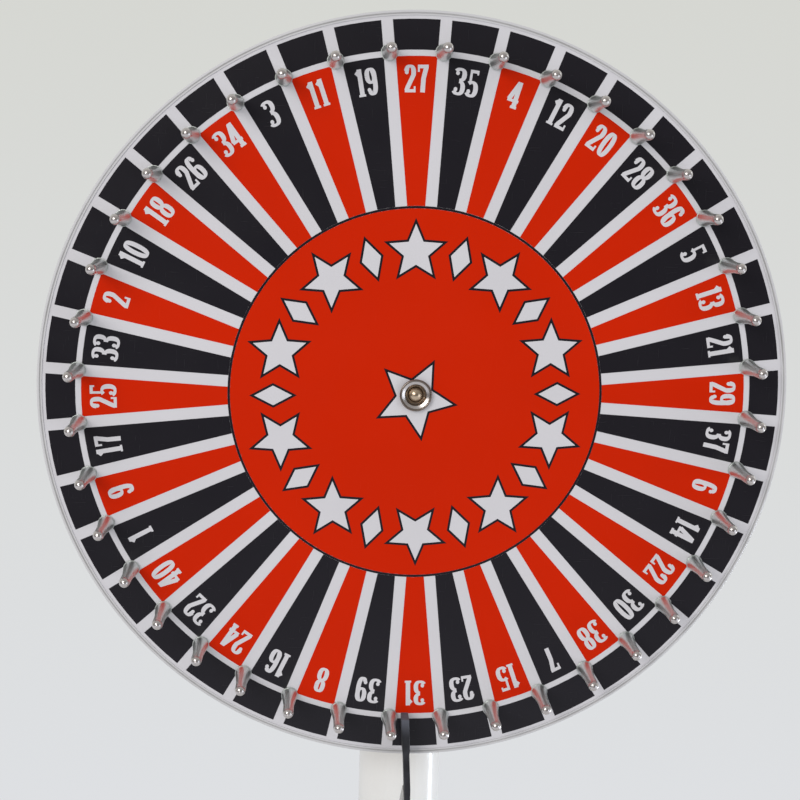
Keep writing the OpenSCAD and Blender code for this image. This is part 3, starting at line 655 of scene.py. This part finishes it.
def make_patches():
    """Slow change of shade: cloudy noise spread between a low and a high value."""
    group, source, result = new_group("patches", {"Scale": 10.0, "Low": 0.0, "High": 1.0}, "Value")
    place, _ = place_of(group)
    noise = cloud(group, place, source.outputs["Scale"], detail=4.0)
    value = spread(group, noise, 0.3, 0.7, source.outputs["Low"], source.outputs["High"])
    group.links.new(value, result.inputs["Value"])
    return group


def make_scratches():
    """Fine scratches: two sets of stretched noise, of which only the narrow peaks stay."""
    group, source, result = new_group("scratches", {"Scale": 60.0, "Cover": 0.5}, "Mask")
    place, _ = place_of(group)
    masks = []
    for turn, stretch in ((0.6, (1.0, 1.0, 14.0)), (-1.1, (16.0, 1.0, 1.0))):
        drawn_out = stretched(group, place, stretch, turn=(0, turn, 0))
        noise = cloud(group, drawn_out, source.outputs["Scale"], detail=2.0)
        masks.append(spread(group, noise, 0.68, 0.74, high=source.outputs["Cover"]))
    group.links.new(compute(group, "MAXIMUM", *masks), result.inputs["Mask"])
    return group


def make_turned_rings():
    """Tool marks of a lathe: one-dimensional noise of the distance along the wheel's axis plus, as far as
    wanted, the distance from it."""
    group, source, result = new_group("turned_rings", {"Scale": 2000.0, "Radial": 0.0}, "Value")
    _, (_, y, _) = place_of(group)
    run = compute(group, "MULTIPLY_ADD", axis_distance(group), source.outputs["Radial"], y)
    noise = add_node(group, "ShaderNodeTexNoise", {
        "W": run, "Scale": source.outputs["Scale"], "Detail": 3.0}, noise_dimensions="1D")
    group.links.new(noise.outputs[0], result.inputs["Value"])
    return group


def make_floor_dust():
    """Dust and shoe marks: strongest at the floor, gone at a height, broken up by noise."""
    group, source, result = new_group("floor_dust", {"Height": 0.3, "Amount": 0.5}, "Mask")
    place, (_, _, z) = place_of(group)
    layer = spread(group, z, 0.0, source.outputs["Height"], source.outputs["Amount"], 0.0)
    broken = spread(group, cloud(group, place, scale=60.0, detail=8.0), 0.4, 0.65)
    group.links.new(compute(group, "MULTIPLY", layer, broken), result.inputs["Mask"])
    return group


GROUPS = {
    "patches": make_patches(),
    "scratches": make_scratches(),
    "turned_rings": make_turned_rings(),
    "floor_dust": make_floor_dust(),
}


def use_group(tree, name, **inputs):
    """Output of a shared group placed in a material with its own values."""
    return add_node(tree, "ShaderNodeGroup", inputs, node_tree=GROUPS[name]).outputs[0]


def patches(tree, scale, low=0.0, high=1.0):
    """A slow change of shade between two values."""
    return use_group(tree, "patches", Scale=scale, Low=low, High=high)


# Finishes


def new_finish(name, **sockets):
    """A material with one Principled shader and its plain values; returns the material, its tree and the
    shader."""
    material = bpy.data.materials.new(name)
    material.use_nodes = True
    shader = material.node_tree.nodes["Principled BSDF"]
    for key, value in sockets.items():
        shader.inputs[key.replace("_", " ")].default_value = value
    return material, material.node_tree, shader


def feed(tree, shader, base, rough):
    """A colour and a roughness for the shader."""
    tree.links.new(base, shader.inputs["Base Color"])
    tree.links.new(rough, shader.inputs["Roughness"])


def roughen(tree, shader, height, strength, distance):
    """Small relief on the surface from a height."""
    bump = add_node(tree, "ShaderNodeBump", {"Height": height, "Strength": strength, "Distance": distance})
    tree.links.new(bump.outputs[0], shader.inputs["Normal"])


def clouded(tree, colour, scale, low, high):
    """A colour with a slow change between a lower and a higher share of it."""
    return blend_colour(tree, patches(tree, scale), shaded(colour, low), shaded(colour, high))


def printed_film(name, colour, gloss=0.2):
    """Printed vinyl: a slow change of shade, a faint peel and a few fine scratches that dull the gloss."""
    material, tree, shader = new_finish(name, Specular_IOR_Level=gloss)
    worn = use_group(tree, "scratches", Scale=55.0, Cover=0.06)
    dull = compute(tree, "ADD", patches(tree, 18.0, 0.2, 0.27), worn)
    feed(tree, shader, clouded(tree, colour, 7.0, 0.97, 1.03), dull)
    roughen(tree, shader, patches(tree, 420.0), 0.08, 0.1 * MM)
    return material


def powder_coat(name, colour, rough, peel=0.25):
    """Powder coat: orange peel, a slow change of gloss, and dust and shoe marks near the floor."""
    material, tree, shader = new_finish(name, Coat_Weight=0.35, Coat_Roughness=0.12)
    dust = use_group(tree, "floor_dust", Height=0.22, Amount=0.16)
    base = blend_colour(tree, dust, clouded(tree, colour, 3.0, 0.97, 1.02), screen(*DUST))
    feed(tree, shader, base, compute(tree, "MULTIPLY_ADD", dust, 0.4, patches(tree, 12.0, *rough)))
    roughen(tree, shader, patches(tree, 260.0), peel, 0.25 * MM)
    return material


def bright_metal(name, colour, rough, rings=0.0, radial=0.0, relief=0.1, painted_rings=(), polished=None):
    """Metal with tool marks along its turning axis, patchy gloss and a darker tone in the marks. Painted rings
    are rings of painted light and shade round the wheel's axis, each with its inner and outer radius and
    its colour. In front of a depth, and on the nut in the middle, the metal is polished: it keeps a share
    of its roughness and shows its bare colour."""
    material, tree, shader = new_finish(name, Metallic=1.0)
    dull = patches(tree, 40.0, *rough)
    shade = patches(tree, 25.0)
    if rings:
        marks = use_group(tree, "turned_rings", Scale=rings, Radial=radial)
        shade = compute(tree, "MULTIPLY", shade, marks)
        dull = compute(tree, "MULTIPLY_ADD", marks, 0.08, dull)
    else:
        marks = patches(tree, 600.0)
    roughen(tree, shader, marks, relief, 0.1 * MM)
    base = blend_colour(tree, shade, shaded(colour, 0.86), colour)
    if polished:
        depth, share, bare = polished
        _, (_, y, _) = place_of(tree)
        tips = spread(tree, y, depth, depth - POLISH_FADE)
        rubbed = compute(tree, "MAXIMUM", tips, ring_mask(tree, 0.0, NUT_REACH))
        dull = compute(tree, "MULTIPLY", dull, compute(tree, "MULTIPLY_ADD", rubbed, share - 1, 1.0))
        base = blend_colour(tree, rubbed, base, bare)
    # Each ring paints light and shade into the colour: on the nut, a painted reflection and painted shade
    for inner, outer, tone in painted_rings:
        base = blend_colour(tree, ring_mask(tree, inner, outer), base, tone)
    feed(tree, shader, base, dull)
    return material


def grimy_trim(name, colour, groove_shade):
    """Satin white coat on the edge trim, with painted shade along the groove of its front lip."""
    material, tree, shader = new_finish(name, Specular_IOR_Level=0.4)
    aside = compute(tree, "ABSOLUTE", compute(tree, "SUBTRACT", axis_distance(tree), GROOVE_RADIUS))
    # Painted shade: a patchy dark line along the lip's groove, darkest at its middle
    line = spread(tree, aside, SHADE_REACH, SHADE_CORE)
    line = compute(tree, "MULTIPLY", line, patches(tree, 14.0, 0.3, 0.65))
    base = blend_colour(tree, line, clouded(tree, colour, 5.0, 0.96, 1.03), groove_shade)
    feed(tree, shader, base, patches(tree, 20.0, 0.3, 0.42))
    roughen(tree, shader, patches(tree, 300.0), 0.12, 0.15 * MM)
    return material


def rubber(name, colour, bloom, worn=None):
    """Black rubber: fine moulded grain and a greyish bloom, which can grow between two heights to a worn
    end."""
    material, tree, shader = new_finish(name, Specular_IOR_Level=0.35)
    haze = patches(tree, 55.0, 0.0, 0.2)
    if worn:
        _, (_, _, z) = place_of(tree)
        haze = compute(tree, "MAXIMUM", haze, spread(tree, z, *worn, high=0.7))
    feed(tree, shader, blend_colour(tree, haze, colour, bloom), patches(tree, 90.0, 0.5, 0.68))
    roughen(tree, shader, patches(tree, 900.0), 0.3, 0.2 * MM)
    return material


def plywood(name):
    """Sealed birch plywood: contour lines of slow noise as the veneer's figure, stretched noise as its
    pores, and dark glue lines between the plies."""
    material, tree, shader = new_finish(name, Specular_IOR_Level=0.4)
    place, (_, y, _) = place_of(tree)
    slow = stretched(tree, place, (0.5, 0.0, 2.6), move=(0.7, 0.0, 0.2))
    hills = cloud(tree, slow, scale=2.2, detail=2.5, roughness=0.4)
    lines = compute(tree, "FRACT", compute(tree, "MULTIPLY", hills, FIGURE_LINES))
    figure = spread(tree, lines, 0.15, 1.0, high=0.8)
    pores = cloud(tree, stretched(tree, place, (2.2, 1.0, 60.0)), scale=9.0, detail=9.0, roughness=0.65)
    streak = spread(tree, pores, 0.32, 0.7)
    grain = compute(tree, "MULTIPLY_ADD", streak, 0.55, compute(tree, "MULTIPLY", figure, 0.45))
    wood = blend_colour(tree, grain, screen(*PALE_WOOD), screen(*DARK_WOOD))
    ply = compute(tree, "FRACT", compute(tree, "MULTIPLY", y, 1 / PLY_THICK))
    glue = compute(tree, "GREATER_THAN", ply, 1 - GLUE_SHARE)
    feed(tree, shader, blend_colour(tree, glue, wood, screen(*GLUE)), patches(tree, 30.0, 0.42, 0.6))
    roughen(tree, shader, streak, 0.2, 0.2 * MM)
    return material


# Painted light on the nut: a painted brown reflection on the dome, and painted shade at its rim
NUT_PAINTED_LIGHT = ((0.0, DOME_REACH, screen(*PAINTED_DOME_REFLECTION)), (NUT_SHOULDER, NUT_REACH, screen(*PAINTED_RIM_SHADE)))
PEG_POLISH = (PEG_FRONT + PEG_TIP, POLISH_SHARE, screen(*BARE_NICKEL))
STRAP_WEAR = (STRAP_TOP - TIP_WEAR, STRAP_TOP)
FINISHES = {
    "white_coat": powder_coat("white_coat", screen(239, 239, 238), rough=(0.3, 0.38)),
    "white_plastic": powder_coat("white_plastic", screen(236, 236, 233), rough=(0.3, 0.42), peel=0.4),
    "foot_rubber": rubber("foot_rubber", screen(34, 34, 36), bloom=screen(84, 82, 80)),
    "zinc_steel": bright_metal("zinc_steel", screen(205, 205, 200), rough=(0.2, 0.36)),
    "turned_steel": bright_metal(
        "turned_steel", screen(200, 200, 202), rough=(0.14, 0.24), rings=1800.0, radial=1.0),
    "peg_chrome": bright_metal(
        "peg_chrome", screen(229, 233, 231), rough=(0.38, 0.44), rings=900.0, relief=0.04,
        painted_rings=NUT_PAINTED_LIGHT, polished=PEG_POLISH),
    "hub_aluminium": bright_metal(
        "hub_aluminium", screen(214, 215, 217), rough=(0.24, 0.34), rings=2400.0, radial=1.0),
    # The edge trim's groove carries a painted shade line
    "white_trim": grimy_trim("white_trim", screen(208, 207, 210), groove_shade=screen(128, 126, 122)),
    "plywood": plywood("plywood"),
    "white_face": printed_film("white_face", screen(212, 210, 215)),
    "red_film": printed_film("red_film", screen(204, 36, 2), gloss=0.07),
    "black_film": printed_film("black_film", screen(30, 28, 34), gloss=0.28),
    "white_film": printed_film("white_film", screen(212, 210, 215)),
    "grey_steel": powder_coat("grey_steel", screen(150, 150, 148), rough=(0.3, 0.45), peel=0.5),
    "strap_rubber": rubber(
        "strap_rubber", screen(20, 20, 24), bloom=screen(104, 106, 118), worn=STRAP_WEAR),
}


def dress_frame():
    """Every carried node takes the finish of its material slot."""
    for part in frame["record"]["subparts"]:
        mesh = frame["nodes"][part["node"]].data
        mesh.materials.clear()
        mesh.materials.append(FINISHES[part["material_slot"]])


# Studio


def add_camera():
    """The photograph's camera, set as the scene's own."""
    lens = bpy.data.cameras.new("photo_camera")
    lens.lens = CAMERA_LENS
    camera = bpy.data.objects.new("photo_camera", lens)
    camera.location = CAMERA_PLACE
    camera.rotation_euler = np.radians(CAMERA_TURN)
    bpy.context.scene.collection.objects.link(camera)
    bpy.context.scene.camera = camera


def add_lamp(name, place, target, size, power, colour, angle):
    """A rectangular lamp that faces a point, with its light kept inside an angle."""
    lamp = bpy.data.lights.new(name, "AREA")
    lamp.shape = "RECTANGLE"
    lamp.size, lamp.size_y = size
    lamp.energy = power
    lamp.color = colour
    lamp.spread = np.radians(angle)
    holder = bpy.data.objects.new(name, lamp)
    holder.location = place
    holder.rotation_euler = (Vector(target) - Vector(place)).to_track_quat("-Z", "Y").to_euler()
    bpy.context.scene.collection.objects.link(holder)


def room_walls(tree, rise):
    """Colour of the room on the camera's side at the rise of a ray, which goes from minus one to one."""
    walls = add_node(tree, "ShaderNodeValToRGB", {0: compute(tree, "MULTIPLY_ADD", rise, 0.5, 0.5)})
    stops = walls.color_ramp.elements
    for i, (level, colour) in enumerate(ROOM_FRONT):
        stop = stops[i] if i < 2 else stops.new(1.0)
        stop.position, stop.color = (level + 1) / 2, screen(*colour)
    return walls.outputs[0]


def add_sky():
    """Even light from all round; the camera and gloss see the pale backdrop, lighter towards the floor, and
    gloss that faces the camera's side sees a dimmer room there."""
    world = bpy.data.worlds.new("studio")
    world.use_nodes = True
    bpy.context.scene.world = world
    tree = world.node_tree
    tree.nodes.clear()
    rays = add_node(tree, "ShaderNodeLightPath").outputs
    seen = compute(tree, "MAXIMUM", rays["Is Camera Ray"], rays["Is Glossy Ray"])
    seen = compute(tree, "MAXIMUM", seen, rays["Is Transmission Ray"])
    way = add_node(tree, "ShaderNodeTexCoord").outputs["Generated"]
    _, depth, rise = add_node(tree, "ShaderNodeSeparateXYZ", {0: way}).outputs
    height = spread(tree, rise, *BACKDROP_RISE)
    pale = blend_colour(tree, height, screen(*BACKDROP_FOOT), screen(*BACKDROP_TOP))
    in_front = compute(tree, "MULTIPLY", spread(tree, depth, *ROOM_TURN), rays["Is Glossy Ray"])
    room = blend_colour(tree, in_front, pale, room_walls(tree, rise))
    light = add_node(tree, "ShaderNodeBackground", {"Strength": SKY_LIGHT})
    backdrop = add_node(tree, "ShaderNodeBackground", {"Color": room})
    mixed = add_node(tree, "ShaderNodeMixShader", {0: seen, 1: light.outputs[0], 2: backdrop.outputs[0]})
    add_node(tree, "ShaderNodeOutputWorld", {"Surface": mixed.outputs[0]})


def floor_finish():
    """Pale paint that turns clear towards the floor's edge."""
    material, tree, shader = new_finish(
        "floor", Base_Color=screen(*FLOOR_COLOUR), Roughness=0.8, Specular_IOR_Level=0.2)
    place, _ = place_of(tree)
    away = add_node(tree, "ShaderNodeVectorMath", {0: place}, operation="LENGTH").outputs["Value"]
    edge = spread(tree, away, FLOOR_FADE, FLOOR_RADIUS, interpolation_type="SMOOTHSTEP")
    clear = add_node(tree, "ShaderNodeBsdfTransparent")
    mixed = add_node(tree, "ShaderNodeMixShader", {0: edge, 1: shader.outputs[0], 2: clear.outputs[0]})
    tree.links.new(mixed.outputs[0], tree.nodes["Material Output"].inputs["Surface"])
    return material


def add_floor():
    """A flat round floor."""
    a = np.linspace(0, 2 * np.pi, FLOOR_SIDES, endpoint=False)
    ring = np.column_stack([FLOOR_RADIUS * np.cos(a), FLOOR_RADIUS * np.sin(a), np.zeros(FLOOR_SIDES)])
    mesh = bpy.data.meshes.new("floor")
    mesh.from_pydata(ring.tolist(), [], [list(range(FLOOR_SIDES))])
    mesh.materials.append(floor_finish())
    floor = bpy.data.objects.new("floor", mesh)
    bpy.context.scene.collection.objects.link(floor)


dress_frame()
add_numerals()
add_ornament()
add_strap()
add_welds()
add_threads()
add_camera()
add_sky()
add_floor()
for lamp_values in LAMPS:
    add_lamp(*lamp_values)
bpy.context.scene.view_settings.view_transform = "Standard"
